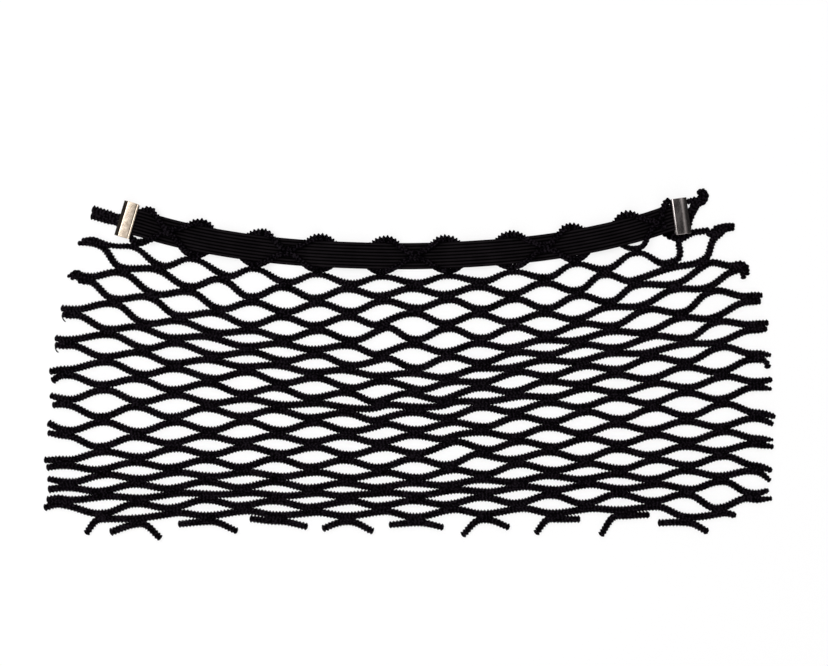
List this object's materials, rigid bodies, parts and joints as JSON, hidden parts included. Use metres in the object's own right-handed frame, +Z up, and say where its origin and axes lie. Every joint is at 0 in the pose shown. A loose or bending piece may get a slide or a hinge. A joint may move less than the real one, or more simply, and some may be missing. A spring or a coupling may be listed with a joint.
{
  "type": "seat back mesh pocket",
  "caption": "Flat knotless diamond net of black cord with a ribbed elastic band woven through its top row and a folded metal sleeve clip on each band end.",
  "frame": {"origin": "middle of the laid-out piece in plan, on the surface it lies on", "axes": "+X along the band from the left clip to the right clip, +Y from the cut bottom of the net up to the band, +Z up off the surface"},
  "size_m": [0.4019, 0.1945, 0.008],
  "materials": {
    "net_cord": "matt knitted black cord",
    "band_elastic": "ribbed black elastic webbing",
    "clip_metal": "brushed nickel plate"
  },
  "bodies": {
    "root": {"net": "net_cord", "elastic_band": "band_elastic", "clip_left": "clip_metal", "clip_right": "clip_metal"}
  },
  "joints": []
}
